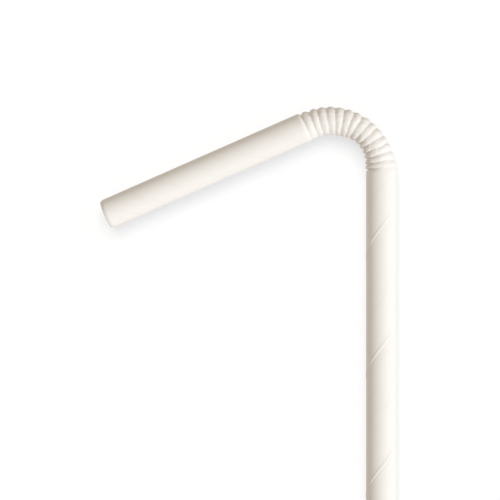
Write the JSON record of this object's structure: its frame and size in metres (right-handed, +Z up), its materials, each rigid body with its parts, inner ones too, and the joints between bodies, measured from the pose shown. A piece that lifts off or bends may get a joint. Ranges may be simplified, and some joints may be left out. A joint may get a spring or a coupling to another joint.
{
  "type": "bendy paper drinking straw",
  "caption": "Spirally wound paper drinking straw with a concertina bend, lying flat: a long plain leg, a row of crimped folds turned past a right angle, and a short leg with the mouth.",
  "frame": {"origin": "on the floor under the middle of the straw's box", "axes": "+Z up from the floor that the straw lies on, -Y along the long leg to its open foot, +Y towards the bend, -X the side that the short leg and its mouth reach out to"},
  "size_m": [0.0594, 0.1448, 0.006],
  "materials": {
    "paper": "uncoated, faintly fibrous, matte"
  },
  "bodies": {
    "root": {"straw": "paper"}
  },
  "joints": []
}
